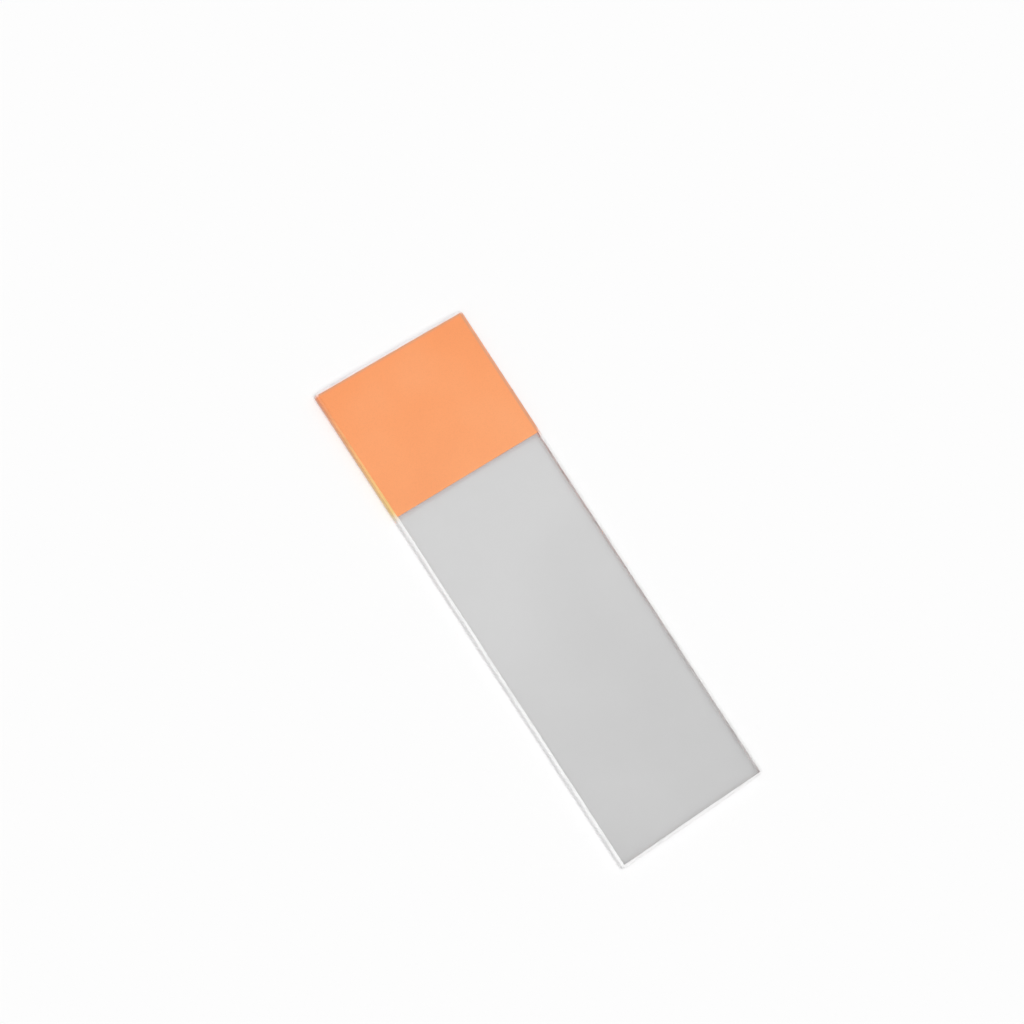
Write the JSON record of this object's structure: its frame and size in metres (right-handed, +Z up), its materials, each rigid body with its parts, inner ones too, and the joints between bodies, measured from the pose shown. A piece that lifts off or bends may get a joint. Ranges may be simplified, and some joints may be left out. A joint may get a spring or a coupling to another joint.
{
  "type": "microscope slide",
  "caption": "Flat glass microscope slide with ground, seamed edges and a matte orange marking end printed on its upper face.",
  "frame": {"origin": "centre of the underside, at the middle of the bounding box seen from above", "axes": "+X from the marking end to the clear end, +Y across the slide, +Z up through the thickness, with the printed face up"},
  "size_m": [0.076, 0.026, 0.001],
  "materials": {
    "clear_glass": "polished",
    "marking_ink": "matte"
  },
  "bodies": {
    "root": {"glass_plate": "clear_glass", "marking_coat": "marking_ink"}
  },
  "joints": []
}
